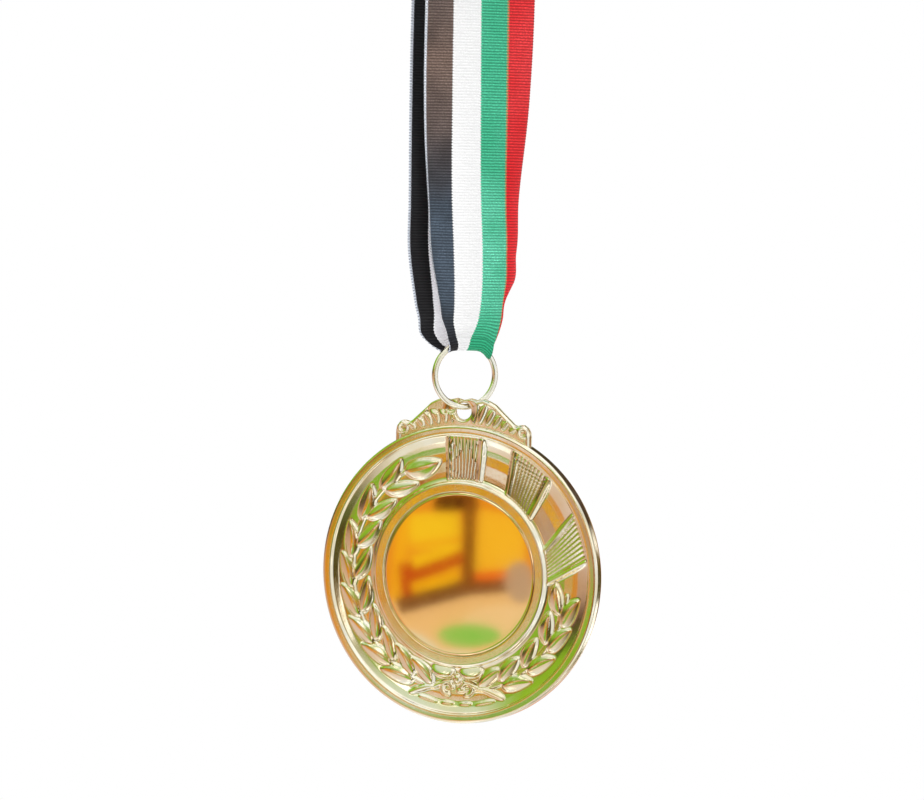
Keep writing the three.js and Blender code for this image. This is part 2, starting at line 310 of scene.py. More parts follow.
cast_gold = plated(
    "cast_gold", pale=(0.94, 0.86, 0.66), deep=(0.89, 0.75, 0.46),
    smooth=0.07, rough=0.15, grain_scale=3400, grain=0.06, wave=0.035,
)
ring_gold = plated(
    "ring_gold", pale=(0.93, 0.88, 0.74), deep=(0.86, 0.77, 0.52),
    smooth=0.14, rough=0.24, grain_scale=5200, grain=0.1, wave=0.12,
)
mirror_gold = plated(
    "mirror_gold", pale=(1.0, 0.80, 0.46), deep=(0.99, 0.78, 0.42),
    smooth=0.044, rough=0.05, grain_scale=4600, grain=0.0006, wave=0.0012, dusty=0.003,
)


def foam_tape():
    n = Look("foam_tape")
    cells = n.noise(n.place(), 2600, 3, 0.7)
    colour = n.mix(cells, (0.74, 0.72, 0.66), (0.90, 0.88, 0.83))
    return n.set(Base_Color=colour, Roughness=0.85, Normal=n.bump(cells, 0.5, 0.0001))


def twisted_thread():
    n = Look("twisted_thread")
    fibre = n.noise(n.place(), 5200, 3, 0.7)
    colour = n.mix(fibre, (0.80, 0.80, 0.77), (0.95, 0.95, 0.92))
    return n.set(Base_Color=colour, Roughness=0.7, Normal=n.bump(fibre, 0.6, 0.0001))


# -------- relief of the medal's front
# Each height function takes points (x, z) from the disc's centre and gives millimetres above its ground.
def polar(radius, degrees):
    a = math.radians(degrees)
    return np.array([radius * math.sin(a), radius * math.cos(a)])


def along_and_off(x, z, start, end):
    start, end = np.asarray(start, float), np.asarray(end, float)
    line = end - start
    length = np.linalg.norm(line)
    line = line / length
    t = ((x - start[0]) * line[0] + (z - start[1]) * line[1]) / length
    off = (z - start[1]) * line[0] - (x - start[0]) * line[1]
    return t, off, length


def rib(x, z, start, end, width, height):
    t, off, length = along_and_off(x, z, start, end)
    beyond = (t - np.clip(t, 0, 1)) * length
    reach = np.hypot(off, beyond) / (width / 2)
    return height * np.sqrt(np.clip(1 - reach ** 2, 0, 1))


LEAF_WIDEST = 0.42  # share of a leaf's length at which it is widest
LEAF_EDGE = 0.16  # width of the steep step round a leaf
VEIN = 0.10  # depth and width of the midrib's groove
LEAF_HEIGHT = 0.80
LEAF_BEND = 0.05
PETAL_WIDEST = 0.6


def leaf(x, z, base, tip, width, height, bend):
    """A pointed leaf that stands proud of the ground, roof-shaped along a midrib, and may bow to one side."""
    t, off, length = along_and_off(x, z, base, tip)
    inside = (t > 0) & (t < 1)
    s = np.clip(t, 1e-4, 1 - 1e-4)
    off = off - bend * length * 4 * s * (1 - s)
    half = width / 2 * (s / LEAF_WIDEST) ** 0.55 * ((1 - s) / (1 - LEAF_WIDEST)) ** 0.76
    reach = np.abs(off) / np.maximum(half, 1e-3)
    roof = np.clip(1 - reach, 0, 1)
    edge = np.clip((half - np.abs(off)) / LEAF_EDGE, 0, 1)
    vein = VEIN * np.exp(-((off / VEIN) ** 2)) * smoothstep(s, 0, 0.2)
    crest = 0.62 * roof + 0.38 * (1 - np.minimum(reach, 1) ** 2)
    body = height * (0.40 * np.sqrt(edge) + 0.60 * crest * (half / (width / 2)) ** 0.6)
    return np.where(inside & (reach < 1), np.maximum(body - vein, 0), 0)


def lobe(x, z, base, tip, width, height, bend=0.0):
    """A rounded petal, as on the bow and the ear."""
    t, off, length = along_and_off(x, z, base, tip)
    s = np.clip(t, 1e-4, 1 - 1e-4)
    off = off - bend * length * 4 * s * (1 - s)
    half = width / 2 * (s / PETAL_WIDEST) ** 0.6 * ((1 - s) / (1 - PETAL_WIDEST)) ** 0.4
    reach = np.abs(off) / np.maximum(half, 1e-3)
    round_top = np.sqrt(np.clip(1 - reach ** 2, 0, 1))
    return np.where((t > 0) & (t < 1), height * round_top, 0)


def curl(x, z, centre, radius, width, height, start=0.0, sweep=360.0):
    """A part of a raised ring, from start through sweep degrees clockwise from the top."""
    dx, dz = x - centre[0], z - centre[1]
    angle = (np.degrees(np.arctan2(dx, dz)) - start) % 360
    reach = np.abs(np.hypot(dx, dz) - radius) / (width / 2)
    shown = (angle <= sweep) if sweep < 360 else np.ones_like(reach, bool)
    return np.where(shown, height * np.sqrt(np.clip(1 - reach ** 2, 0, 1)), 0)


def leaf_row(x, z, angles, base_r, tip_r, sweep, width):
    """Leaves at the given clock angles, each from one radius to another across its sweep of degrees."""
    top = np.zeros_like(x)
    for i, angle in enumerate(angles):
        turn = math.copysign(1, angle)
        base = polar(base_r, angle + turn * sweep / 2)
        tip = polar(tip_r, angle - turn * sweep / 2)
        size = 1 + 0.06 * math.sin(2.3 * i + base_r)
        top = np.maximum(top, leaf(x, z, base, tip, width * size, LEAF_HEIGHT, LEAF_BEND * turn))
    return top


LEAF_ROWS = (  # clock angles, radius of the base, radius of the tip, sweep in degrees, width
    ((-148, -134, -120.5, -105.5, -91, -76.5, -57, -38.5), 26.1, 28.6, 17, 3.6),
    ((-157.5, -146, -133, -119.5, -103.5, -86, -69.5, -54, -37), 25.0, 21.9, 18.5, 3.3),
    ((-21.8,), 25.6, 24.9, 20, 4.3),
    ((148.5, 133.5, 118.5, 105), 26.2, 28.6, 15, 3.6),
    ((160, 148, 133, 116, 99.5), 24.7, 22.6, 16.5, 3.2),
)
STEMS = ((25.6, -165, -30), (25.5, 97, 181))  # radius, clock angles from and to
STEM_HEIGHT = 0.42
STEM_HALF = 0.36


def laurel(x, z):
    top = np.zeros_like(x)
    for row in LEAF_ROWS:
        top = np.maximum(top, leaf_row(x, z, *row))
    r = np.hypot(x, z)
    angle = np.degrees(np.arctan2(x, z))
    for radius, first, last in STEMS:
        stem = STEM_HEIGHT * np.sqrt(np.clip(1 - ((r - radius) / STEM_HALF) ** 2, 0, 1))
        top = np.maximum(top, np.where((angle > first) & (angle < last), stem, 0))
    return top


def mound(x, z, centre, radii, tilt, height):
    """A smooth oval dome, turned by tilt degrees."""
    c, s = math.cos(math.radians(tilt)), math.sin(math.radians(tilt))
    dx, dz = x - centre[0], z - centre[1]
    reach = np.hypot((dx * c + dz * s) / radii[0], (dz * c - dx * s) / radii[1])
    return height * np.sqrt(np.clip(1 - reach ** 2.6, 0, 1))


def bow(x, z):
    """Two folded loops and a knot on the raised ring's edge, with a hooked end and two tails on each side."""
    top = np.zeros_like(x)
    for side in (-1, 1):
        sx = x * side
        loop = mound(sx, z, (3.35, -21.05), (2.75, 1.75), 8, 1.0) ** 0.5
        top = np.maximum(top, loop * np.clip(0.2 + 0.37 * (-19.3 - z), 0, 1.3))
        top = np.maximum(top, curl(sx, z, (2.3, -25.0), 1.25, 0.8, 0.6, 270, 290))
        top = np.maximum(top, lobe(sx, z, (1.0, -23.3), (5.9, -25.2), 1.1, 0.6, 0.05))
        top = np.maximum(top, lobe(sx, z, (5.2, -24.7), (11.2, -26.6), 1.4, 0.62, 0.04))
        top = np.maximum(top, lobe(sx, z, (4.6, -28.2), (9.0, -27.1), 1.0, 0.45))
        top = np.maximum(top, lobe(sx, z, (0.8, -28.3), (3.4, -28.2), 0.9, 0.4))
    return np.maximum(top, mound(x, z, (0.0, -22.9), (0.95, 1.1), 0, 0.7))


RIBS = 9  # fine ribs between a band's two thick ones
FINE_RIB = (0.56, 0.5)  # width, height
THICK_RIB_HEIGHT = 0.66
BANDS = (  # inner ends, outer ends, widths of the two thick ribs
    (((-2.9, 20.2), (4.1, 20.1)), ((-3.1, 29.9), (5.0, 29.4)), (1.0, 1.4)),
    (((10.8, 17.3), (15.9, 12.9)), ((12.6, 27.3), (20.7, 21.6)), (1.1, 1.5)),
    (((19.7, 5.9), (20.6, -0.8)), ((26.5, 14.1), (29.7, 4.3)), (1.1, 1.1)),
)


def rayed_bands(x, z):
    """Millimetres in front of the ground that the ribs reach, fine ones between two thick ones."""
    top = np.zeros_like(x)
    for inner, outer, edge_widths in BANDS:
        inner, outer = np.array(inner), np.array(outer)
        for i in range(RIBS + 2):
            t = i / (RIBS + 1)
            start = inner[0] + (inner[1] - inner[0]) * t
            end = outer[0] + (outer[1] - outer[0]) * t
            thick = {0: edge_widths[0], RIBS + 1: edge_widths[1]}
            width, height = (thick[i], THICK_RIB_HEIGHT) if i in thick else FINE_RIB
            top = np.maximum(top, rib(x, z, start, end, width, height))
    return top


GROUND = (  # radius, depth below the rim
    (17.0, 0.5), (17.98, 0.45), (18.03, 0.425), (18.1, 0.42), (19.8, 0.40), (19.98, 0.44), (20.16, 0.62),
    (20.45, 1.1), (21.1, 1.3), (22.5, 1.42), (24.5, 1.5), (26.5, 1.46), (27.8, 1.3), (28.9, 1.02),
    (29.7, 0.72), (30.1, 0.56), (30.3, 0.46), (30.46, 0.12), (30.62, 0.02), (31.0, 0.0), (31.8, 0.012),
    (32.15, 0.07), (32.35, 0.2), (32.45, 0.4), (32.5, 0.7),
)
FIELD_DEPTH = 1.48  # what the leaves stand on
BANDS_DEPTH = 1.36  # what the ribs stand on near the middle
BANDS_CLIMB = 0.42  # how much nearer the rim that is at their outer ends
BOW_DEPTH = 1.34
RELIEF_SHOWN = 0.01  # relief lower than this leaves the ground as it is


def front_depth(x, z):
    """Depth of the medal's relief below its rim's front plane."""
    r = np.hypot(x, z)
    ground = np.interp(r, *np.array(GROUND).T)
    in_field = smoothstep(r, 20.55, 20.9) * (1 - smoothstep(r, 30.0, 30.4))
    branches = laurel(x, z)
    ribs = rayed_bands(x, z)
    depth = np.where(branches > RELIEF_SHOWN, np.minimum(ground, FIELD_DEPTH - branches), ground)
    under_ribs = BANDS_DEPTH - BANDS_CLIMB * smoothstep(r, 24, 30)
    depth = np.where(ribs > RELIEF_SHOWN, np.minimum(depth, under_ribs - ribs), depth)
    depth = ground + (depth - ground) * in_field
    tied = bow(x, z)
    return np.where(tied > RELIEF_SHOWN, np.minimum(depth, BOW_DEPTH - tied), depth)


# -------- medal body
SEGMENTS = 800
SEAT_R = 17.98
SEAT_DEPTH = 2.1
SEAT_WALL = (SEAT_DEPTH - 0.15, 1.2)  # depths of the points up the seat's wall
SEAT_ROWS = (0.0, 0.02, 0.05)  # rows just outside the seat's edge
FIELD_ROWS = 68
FIELD_OUT = 30.0
RIM_ROWS = 22
RIM_IN = 30.12
SIDE_LEVELS = (0.95, 1.5, 2.1)  # depths of the points down the disc's side
REVERSE = (  # radius and how far in front of the back face, for the plain back with its raised edge
    (32.5, 0.75), (32.38, 0.38), (32.0, 0.12), (31.3, 0.0), (30.2, 0.0), (29.7, 0.14), (29.1, 0.3),
    (28.0, 0.34), (20.0, 0.34), (10.0, 0.34), (2.0, 0.34),
)


def soften(depth):
    """The depths, each averaged a little with its neighbours along both ways of the grid."""
    wide = np.pad(depth, ((1, 1), (0, 0)), mode="edge")
    depth = 0.25 * wide[:-2] + 0.5 * depth + 0.25 * wide[2:]
    return 0.25 * np.roll(depth, 1, 1) + 0.5 * depth + 0.25 * np.roll(depth, -1, 1)


def disc_rows():
    """The disc as rings of points, from the seat's middle, over the relief and the edge, to the back."""
    a = np.linspace(0, 2 * np.pi, SEGMENTS, endpoint=False)
    relief_r = np.concatenate([
        [SEAT_R + out for out in SEAT_ROWS], np.linspace(SEAT_R + 0.12, FIELD_OUT, FIELD_ROWS),
        np.linspace(RIM_IN, DISC_R, RIM_ROWS),
    ])
    r = relief_r[:, None]
    relief = soften(front_depth(r * np.sin(a), r * np.cos(a)))
    rows = [(radius, SEAT_DEPTH) for radius in (2.0, 12.0, SEAT_R - 0.3)]
    rows += [(SEAT_R, depth) for depth in SEAT_WALL]
    rows += list(zip(relief_r, relief))
    rows += [(DISC_R, depth) for depth in SIDE_LEVELS]
    rows += [(radius, BACK_Y - FRONT_Y - inset) for radius, inset in REVERSE]
    points = []
    for radius, depth in rows:
        level = FRONT_Y + np.broadcast_to(depth, SEGMENTS)
        points.append(np.stack([radius * np.sin(a), level, DISC_Z + radius * np.cos(a)], -1))
    return points


EAR_TOP = (  # x from the middle, height of the ear's edge above the disc's centre
    (0.0, 37.9), (1.6, 38.3), (3.2, 37.95), (4.9, 38.25), (6.3, 37.75), (7.6, 37.1), (9.2, 35.6),
    (11.0, 34.0), (12.1, 33.0), (12.8, 32.75), (13.5, 33.0), (14.4, 33.0), (15.2, 32.4), (15.7, 31.5),
    (15.85, 30.6),
)
EAR_FLUTES = (  # foot and top of each upright petal, and its width
    ((2.5, 33.0), (3.4, 37.2), 1.5), ((4.0, 32.9), (5.5, 37.0), 1.6), ((5.7, 32.6), (7.4, 35.9), 1.6),
    ((7.4, 32.2), (9.0, 34.8), 1.5), ((9.2, 31.8), (10.6, 33.6), 1.4), ((11.2, 31.2), (12.4, 32.3), 1.2),
)
FLUTE_HEIGHT = 0.42
EAR_FRONT = 1.0  # depth of the ear's face below the rim's front plane
EAR_BACK = 2.5
EAR_FOOT_R = 31.0  # the ear starts inside the disc, this far from its centre
EDGE_ROUND = 0.4  # rounding of the ear's outline, over this width
EDGE_BAND = 0.45
BORDER_HEIGHT = 0.3  # a low bead that follows the outline
BORDER_IN = 0.75
BORDER_HALF = 0.5
HOLLOW = 0.45  # depth worn away beside the hole, where the ring passes
HOLE_Z = 35.5
HOLE_R = 1.8
HOLE_LIP = 0.72


def ear_relief(x, z):
    """Millimetres that the petals and scrolls stand proud of the ear's face."""
    top = np.zeros_like(x)
    for side in (-1, 1):
        sx = x * side
        for foot, tip, width in EAR_FLUTES:
            top = np.maximum(top, lobe(sx, z, foot, tip, width, FLUTE_HEIGHT, 0.05))
        top = np.maximum(top, curl(sx, z, (14.2, 31.4), 1.0, 0.8, 0.5))
        top = np.maximum(top, curl(sx, z, (2.2, 37.0), 0.9, 0.6, 0.35, 250, 260))
    return top


def ring_side(x, z):
    """1 over the part of the ear that the turned ring passes as the medal swings, 0 elsewhere."""
    return smoothstep(x, 0.5, 1.5) * (1 - smoothstep(x, 8.0, 9.0)) * smoothstep(z, 34.6, 35.8)


def ear_net(cols=176, rows=46):
    """The ear's points as (x, z) on a grid opened round the hole, its kept quads, and the way to its edge."""
    reach = EAR_TOP[-1][0]
    x = np.linspace(-reach, reach, cols)[:, None]
    top = np.interp(np.abs(x), *np.array(EAR_TOP).T)
    low = np.sqrt(EAR_FOOT_R ** 2 - x ** 2)
    x, z = np.broadcast_arrays(x, low + (top - low) * np.linspace(0, 1, rows))
    dx, dz = x, z - HOLE_Z
    distance = np.hypot(dx, dz)
    inner = distance < HOLE_R
    open_quads = inner[:-1, :-1] & inner[1:, :-1] & inner[1:, 1:] & inner[:-1, 1:]
    touching = np.zeros_like(inner)
    for i, j in ((0, 0), (1, 0), (1, 1), (0, 1)):
        touching[i:cols - 1 + i, j:rows - 1 + j] |= ~open_quads
    pull = np.where(inner & touching, HOLE_R / np.maximum(distance, 1e-6), 1)
    x, z = dx * pull, HOLE_Z + dz * pull
    edge = np.minimum((top - z) + 0.02, reach + 0.05 - np.abs(x))
    return x, z, ~open_quads, edge


def quarter_round(share):
    """The drop of a quarter circle's edge, 0 where share is 0 and 1 where it is 1."""
    return 1 - np.sqrt(np.clip(1 - share ** 2, 0, 1))


def ear_grid():
    """Front and back points of the ear on one grid, and which of the grid's quads are kept."""
    x, z, kept, edge = ear_net()
    distance = np.hypot(x, z - HOLE_Z)
    lip = np.clip(1 - (distance - HOLE_R) / HOLE_LIP, 0, 1)
    outline = EDGE_ROUND * quarter_round(1 - np.clip(edge / EDGE_BAND, 0, 1))
    rounding = np.maximum(outline, HOLE_LIP * quarter_round(lip))
    hollow = HOLLOW * (1 - smoothstep(distance, HOLE_R + 0.8, HOLE_R + 3.2))
    front_round = np.maximum(rounding, hollow * ring_side(-x, z))
    back_round = np.maximum(rounding, hollow * ring_side(x, z))
    border = BORDER_HEIGHT * np.sqrt(np.clip(1 - ((edge - BORDER_IN) / BORDER_HALF) ** 2, 0, 1))
    clear_of_ring = smoothstep(distance, HOLE_R + 0.6, HOLE_R + 2.2) * (1 - ring_side(-x, z))
    proud = np.maximum(ear_relief(x, z) * smoothstep(edge, 0.1, 0.5), border) * clear_of_ring
    front = np.stack([x, FRONT_Y + EAR_FRONT + front_round - proud, DISC_Z + z], -1)
    back = np.stack([x, FRONT_Y + EAR_BACK - back_round, DISC_Z + z], -1)
    return front, back, kept


def ear_shell():
    """Points and faces of the ear: its two faces, joined along its outline and round its hole."""
    front, back, kept = ear_grid()
    cols, rows = front.shape[:2]
    quads = grid_quads(cols, rows).reshape(cols - 1, rows - 1, 4)[kept]
    count = cols * rows
    edges = dict.fromkeys(pair for quad in quads.tolist() for pair in zip(quad, quad[1:] + quad[:1]))
    walls = [[b, a, a + count, b + count] for a, b in edges if (b, a) not in edges]
    faces = quads[:, ::-1].tolist() + (quads + count).tolist() + walls
    return np.concatenate([front.reshape(-1, 3), back.reshape(-1, 3)]), faces


def add_medal_body():
    rows = disc_rows()
    ear_points, ear_faces = ear_shell()
    first = len(rows) * SEGMENTS
    faces = capped_quads(len(rows), SEGMENTS) + [[i + first for i in face] for face in ear_faces]
    body = mesh_object("gilt_medal_body", np.concatenate([*rows, ear_points]), faces, cast_gold)
    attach(body, "medal")
    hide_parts("medal_body")


CROWN = 0.03  # how far the mirror's middle stands in front of its edge
CORE_R = 0.4  # the flat middle of a plate's back


def add_insert():
    """The mirror disc: a thin plate, very slightly crowned, with a rolled edge."""
    r = INSERT_HIGH[0]
    thick = INSERT_HIGH[1] - INSERT_LOW[1]
    crown = [(r * t, CROWN * t * t) for t in (0.02, 0.15, 0.3, 0.45, 0.6, 0.75, 0.88, 0.96)]
    edge = [(r - 0.015, CROWN + 0.001), (r, 0.05), (r, thick - 0.1), (r - 0.1, thick), (CORE_R, thick)]
    points, faces = lathe(crown + edge, 240, (0, INSERT_LOW[1], DISC_Z))
    insert = mesh_object("mirror_centre", points, faces, mirror_gold)
    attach(insert, "medal")
    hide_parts("centre_insert")


PAD_ROUND = 0.06


def add_adhesive():
    """The round foam pad behind the mirror disc."""
    r = PAD_HIGH[0]
    thick = PAD_HIGH[1] - PAD_LOW[1]
    front = [(CORE_R, 0), (r - PAD_ROUND, 0), (r, thick * 0.3)]
    profile = front + [(radius, thick - y) for radius, y in front[::-1]]
    points, faces = lathe(profile, 120, (0, PAD_LOW[1], DISC_Z))
    pad = mesh_object("foam_pad", points, faces, foam_tape())
    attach(pad, "medal")
    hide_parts("insert_adhesive")


# -------- jump ring
WIRE_R = 0.65
WIRE_ENDS = np.array((0.10, 0.04, 0.01))  # rounding of the wire's last points, from its end inwards
RING_Z = (RING_LOW[2] + RING_HIGH[2]) / 2
RING_R = (RING_HIGH[2] - RING_LOW[2]) / 2 - WIRE_R
SPLIT_AT = math.radians(78)
SPLIT = 0.35 / RING_R  # angle of the gap


def add_ring():
    """Round wire bent to a circle, with its cut ends a hair apart inside the ribbon's fold."""
    a = np.linspace(SPLIT_AT + SPLIT / 2, SPLIT_AT + 2 * np.pi - SPLIT / 2, 260)
    path = yawed(RING_R * np.cos(a), 0.0, RING_Z + RING_R * np.sin(a))
    radius = np.full(len(a), WIRE_R)
    radius[:3] -= WIRE_ENDS
    radius[-3:] -= WIRE_ENDS[::-1]
    points, faces = tube(path, radius, 28)
    ring = mesh_object("split_ring", points, faces, ring_gold)
    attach(ring, "ring")
    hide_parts("jump_ring")


# -------- ribbon
RIBBON_W = 25.0
RIBBON_T = 0.42
FOLD_R = 2.8
FOLD_Z = DISC_Z + 51.7  # height of the fold's centre
LOOP_R = 9.9
LOOP_Z = DISC_Z + 137.5
FLARE_Z = DISC_Z + 124.0
STRAP_HALF_GAP = 4.0
SEAM_Z = DISC_Z + 130.0
SEAM_HALF = 4.0
LAP_GAP = 0.12
RIB_PITCH = 0.62
ACROSS = 27  # points across the strip
MIDDLE = ACROSS // 2
ROW_PITCH = 0.155  # spacing of the rows of points along the strip

# How each strap hangs, by height above the fold's centre (mm): where its middle is (across, towards its
# front), how far its left and right edges curl (degrees), and the share of its width that each side keeps.
FRONT_STRAP = (
    (-2.3, 0.5, 0.0, 60, 90, 0.55, 0.60),
    (0.0, 1.0, 2.3, 95, 172, 0.50, 0.64),
    (5.3, 1.6, 3.9, 95, 166, 0.66, 0.76),
    (9.6, 1.7, 4.7, 92, 94, 0.82, 0.94),
    (18.3, 1.5, 5.2, 76, 70, 0.98, 1.0),
    (29.2, 0.9, 5.2, 74, 60, 1.0, 1.0),
    (50.9, 0.6, 4.5, 38, 26, 1.0, 1.0),
    (72.6, 0.5, 3.7, 8, 4, 1.0, 1.0),
    (96.0, 0.0, 4.0, 3, 3, 1.0, 1.0),
)
REAR_STRAP = (
    (-2.3, 0.5, 0.0, 60, 60, 0.55, 0.60),
    (0.0, -0.6, 2.3, 60, 20, 0.72, 0.50),
    (5.3, -0.5, 3.5, 51, 15, 0.98, 0.56),
    (9.6, -0.6, 4.3, 45, 15, 1.0, 0.68),
    (18.3, -1.4, 4.9, 40, 15, 1.0, 0.90),
    (29.2, -1.6, 5.0, 42, 15, 1.0, 1.0),
    (50.9, -1.0, 4.5, 24, 10, 1.0, 1.0),
    (72.6, -0.5, 3.7, 6, 5, 1.0, 1.0),
    (96.0, 0.0, 4.0, 3, 3, 1.0, 1.0),
)
FOLD_ACROSS = ((-1.0, -4.2), (-0.5, -2.2), (0.0, 0.0), (0.46, 5.4), (0.5, 5.35), (1.0, 4.0))
FOLD_SQUASH = 0.82  # the fold's depth against a half circle
LEFT_CURL = 1.4  # how late the left edge's curl sets in
RIGHT_CURL = (1.2, 1.4)  # the same for the right edge, and how much later near the fold
GATHER_FROM = 0.5  # share of the half width inside which the cloth is less drawn together
TUCK = 0.6  # how far the fold's right part lies behind the rest
SAG_CLEAR = 0.95  # how far the wire may drop away before the cloth follows it
SAG_LIMITS = (0.85, 2.2)  # most that the left and the right side sag onto the wire


def spread_keys(keys, height):
    """Smooth values between the keys, one row for each height."""
    keys = np.array(keys)
    height = np.clip(height, keys[0, 0], keys[-1, 0])
    i = np.clip(np.searchsorted(keys[:, 0], height) - 1, 0, len(keys) - 2)
    slopes = np.gradient(keys[:, 1:], keys[:, 0], axis=0)
    h = (keys[i + 1, 0] - keys[i, 0])[:, None]
    t = ((height - keys[i, 0])[:, None]) / h
    a, b, ma, mb = keys[i, 1:], keys[i + 1, 1:], slopes[i] * h, slopes[i + 1] * h
    return ((2 * t ** 3 - 3 * t ** 2 + 1) * a + (t ** 3 - 2 * t ** 2 + t) * ma
            + (3 * t ** 2 - 2 * t ** 3) * b + (t ** 3 - t ** 2) * mb)


def strap_path():
    """Samples of the loop from the fold's bottom, up the front, over the top and down the back.
    Each is (side, height above the fold's centre, forward, up, normal forward, normal up)."""
    def fold(degrees, side):
        a = np.radians(degrees)
        c, s = np.cos(a), np.sin(a)
        return [np.full_like(a, side), FOLD_R * s, FOLD_SQUASH * FOLD_R * c, FOLD_Z + FOLD_R * s, c, s]

    def straight(z, side):
        return [np.full_like(z, side), z - FOLD_Z, 0 * z, z, np.full_like(z, side), 0 * z]

    a = np.radians(np.linspace(0, 180, 160, endpoint=False))
    side = np.where(a < np.pi / 2, 1.0, -1.0)
    top = np.full_like(a, LOOP_Z - FOLD_Z)
    loop = [side, top, LOOP_R * np.cos(a), LOOP_Z + LOOP_R * np.sin(a), np.cos(a), np.sin(a)]
    parts = [
        fold(np.linspace(-90, 0, 40, endpoint=False), 1),
        straight(np.linspace(FOLD_Z, LOOP_Z, 400, endpoint=False), 1),
        loop,
        straight(np.linspace(LOOP_Z, FOLD_Z, 400, endpoint=False), -1),
        fold(np.linspace(180, 270, 41), -1),
    ]
    return np.concatenate([np.stack(part, -1) for part in parts])


def summed(steps):
    """Distances from the strip's middle, added up from the steps between neighbouring points."""
    between = (steps[:, 1:] + steps[:, :-1]) / 2
    total = np.concatenate([np.zeros((len(steps), 1)), np.cumsum(between, 1)], 1)
    return total - total[:, MIDDLE:MIDDLE + 1]


def curled_section(v, near, values):
    """Each row's points across and off the strap's plane, from how its edges curl and are drawn together."""
    middle, _, left, right, pull_left, pull_right = (values[:, i:i + 1] for i in range(6))
    late, later = RIGHT_CURL
    right_power = late + later * (1 - smoothstep(near, 3, 14))
    curl_left = np.radians(left) * np.clip(-v, 0, 1) ** LEFT_CURL
    turn = np.radians(right) * np.clip(v, 0, 1) ** right_power - curl_left
    gather = np.clip(np.abs(v) / GATHER_FROM, 0, 1) ** 2
    drawn = 1 - (1 - np.where(v < 0, pull_left, pull_right)) * gather
    step = drawn * RIBBON_W / (ACROSS - 1)
    return middle + summed(np.cos(turn) * step), summed(-np.sin(turn) * step)


def strap_points(samples):
    """The strip's middle surface, rows along it and points across it, as (across, forward, up)."""
    side, height, forward, up, normal_forward, normal_up = samples.T
    on_front = (side > 0)[:, None]
    values = np.where(on_front, spread_keys(FRONT_STRAP, height), spread_keys(REAR_STRAP, height))
    opening = smoothstep(up, FLARE_Z, LOOP_Z)
    gap = values[:, 1] * (1 - opening) + LOOP_R * opening
    forward = np.where(forward == 0.0, side * gap, forward)
    v = np.linspace(-1, 1, ACROSS)[None, :]
    near = np.maximum(height + FOLD_R, 0)[:, None]       # distance above the fold's lowest line
    u, off = curled_section(v, near, values)
    at_fold = np.interp(v[0], *np.array(FOLD_ACROSS).T)[None, :]
    hold = 1 - smoothstep(near, 0, np.where(v < 0, 6.5, 7.5))
    quick = np.clip(near / 4.6, 0, 1)
    hold = np.where(~on_front & (v < 0), 1 - np.sqrt(1 - (1 - quick) ** 2), hold)
    u = u * (1 - hold) + at_fold * hold
    off = off * smoothstep(near, 1.0, 7.0) - TUCK * smoothstep(v, 0.44, 0.56) * hold
    lean = np.sqrt(np.clip(1 - (u / RING_R) ** 2, 0.12, 1))
    below_wire = RING_R * (1 - lean) + WIRE_R * (1 / lean - 1) - SAG_CLEAR
    droop = 0.5 * (below_wire + np.sqrt(below_wire ** 2 + 0.3))
    droop = np.minimum(droop, np.where(v < 0, *SAG_LIMITS)) * (1 - smoothstep(near, 0.5, 8))
    f = forward[:, None] + normal_forward[:, None] * off
    z = up[:, None] + normal_up[:, None] * off - droop
    return np.stack([u, f, z], -1)


def even_rows(points, spacing):
    """Rows spaced evenly along the strip's middle, with each row's distance along it."""
    centre = points[:, MIDDLE]
    travelled = np.concatenate([[0], np.cumsum(np.linalg.norm(np.diff(centre, axis=0), axis=1))])
    wanted = np.arange(0, travelled[-1], spacing)
    flat = points.reshape(len(points), -1)
    out = np.stack([np.interp(wanted, travelled, column) for column in flat.T], -1)
    return out.reshape(len(wanted), ACROSS, 3), wanted, travelled[-1]


def strip_surface():
    """The whole strip from one end of its seam to the other, with each row's distance along it."""
    samples = strap_path()
    rear = np.where((samples[:, 0] < 0) & (samples[:, 2] == 0.0))[0]
    z = samples[rear, 3]
    seam_low = rear[np.argmin(np.abs(z - (SEAM_Z - SEAM_HALF)))]
    seam_high = rear[np.argmin(np.abs(z - (SEAM_Z + SEAM_HALF)))]
    surface = strap_points(samples)
    # from the seam's upper end down the rear, under, up the front, over, and down to the seam's lower end
    order = list(range(seam_high, len(samples) - 1)) + list(range(0, seam_low + 1))
    return even_rows(surface[order], ROW_PITCH)


LAP_EASE = (0.4, 4.0)  # the lap's step eases off between these distances past the seam
SCALLOP = 0.16  # how far the edge draws in between two ribs
SELVEDGE = 0.35  # how much thicker the strip's edge is


def lap_lift(distance):
    """How far the strip's first end lies behind its last end, over the seam."""
    start, end = (2 * SEAM_HALF + ease for ease in LAP_EASE)
    return (RIBBON_T + LAP_GAP) * (1 - smoothstep(distance, start, end))


def strip_thickness(surface, distance, normal, across):
    """The strip's outer and inner points, ribbed across and thicker along its scalloped edges."""
    v = np.linspace(-1, 1, ACROSS)
    rib = (0.5 + 0.5 * np.cos(2 * np.pi * distance / RIB_PITCH))[:, None]
    edge = np.sign(v) * smoothstep(np.abs(v), 0.93, 1.0)
    surface = surface - across * (edge * SCALLOP * rib)[:, :, None]
    half = RIBBON_T / 2 * (1 + SELVEDGE * np.exp(-(((np.abs(v) - 0.975) / 0.02) ** 2)))
    half = half * (0.90 + 0.10 * rib) * np.where(np.abs(v) > 0.999, 0.6, 1)
    thick = normal * half[:, :, None]
    return surface + thick, surface - thick


